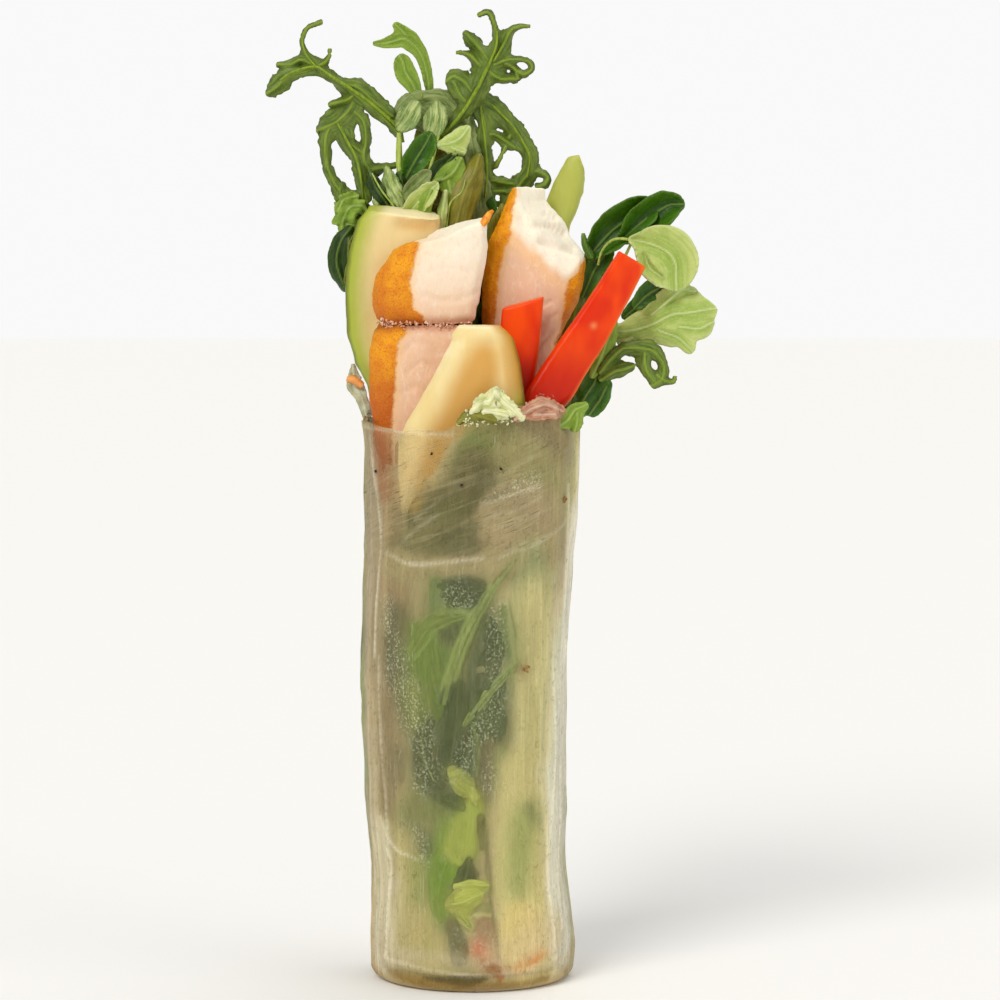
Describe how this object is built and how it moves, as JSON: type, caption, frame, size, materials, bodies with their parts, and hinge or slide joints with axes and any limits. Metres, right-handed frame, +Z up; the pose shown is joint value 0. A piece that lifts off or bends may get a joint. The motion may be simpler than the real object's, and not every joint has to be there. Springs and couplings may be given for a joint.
{
  "type": "rice paper roll",
  "caption": "Tall rice paper roll, open at the top and folded shut at its flat foot, packed with salad leaves, chicken, avocado and red pepper.",
  "frame": {"origin": "centre of the flat foot that the roll stands on", "axes": "+Z up along the roll to the open end with the greens, front of the roll towards -Y, +X to the right of the front"},
  "size_m": [0.0967, 0.0432, 0.2066],
  "materials": {
    "rice_paper": "wet, translucent rice paper, faintly glossy, pale beige",
    "chicken": "cooked pale meat with a golden browned crust at its edges",
    "avocado": "moist pale flesh, cream to green, with a thin green skin edge",
    "cucumber": "pale watery flesh, cut faces",
    "pepper": "glossy raw pepper, orange-red",
    "herb": "dark green leaves with paler ribs",
    "leaf": "pale green leaves, soft sheen"
  },
  "bodies": {
    "root": {"rice_paper": "rice_paper", "salad_bundle": "herb", "chicken_left_upper": "chicken", "chicken_left_lower": "chicken", "chicken_right": "chicken", "avocado_left": "avocado", "avocado_front": "avocado", "avocado_back": "avocado", "pepper_small": "pepper", "pepper_large": "pepper", "baton_left": "cucumber", "baton_right": "cucumber", "mizuna_left": "herb", "mizuna_left_low": "herb", "mizuna_right": "herb", "mizuna_right_low": "herb", "shoot_middle": "leaf", "lettuce_dark": "herb", "lettuce_round": "leaf", "lettuce_fan": "leaf", "sprig_right": "herb"}
  },
  "joints": []
}
